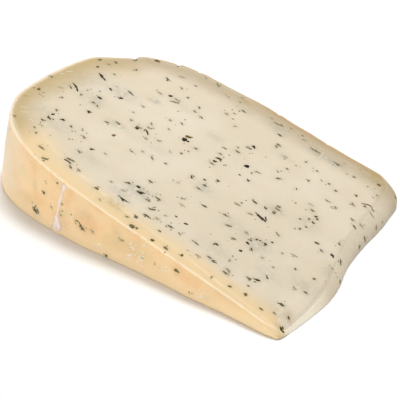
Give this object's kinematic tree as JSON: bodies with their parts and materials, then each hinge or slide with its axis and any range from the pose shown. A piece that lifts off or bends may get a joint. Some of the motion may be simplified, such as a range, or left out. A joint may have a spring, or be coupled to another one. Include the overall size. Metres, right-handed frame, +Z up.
{
  "type": "goat gouda wedge",
  "caption": "Wedge of herbed goat cheese lying on a cut face, thick at its rounded rind heel and thinning to a worn, uneven tip.",
  "frame": {"origin": "the middle of the wedge's box at its base, on the lower cut face", "axes": "+X from the thick rind heel towards the thin tip, +Y from one flat side of the wheel to the other, +Z up from the lower cut face"},
  "size_m": [0.1274, 0.099, 0.0288],
  "materials": {
    "cheese": "semi-hard cream cheese with a waxy yellow rind, slightly translucent",
    "herb": "dried dark olive herb pieces",
    "rind_coat": "thin pinkish white cheese coating and dry flakes"
  },
  "bodies": {
    "root": {"wedge": "cheese"}
  },
  "joints": []
}
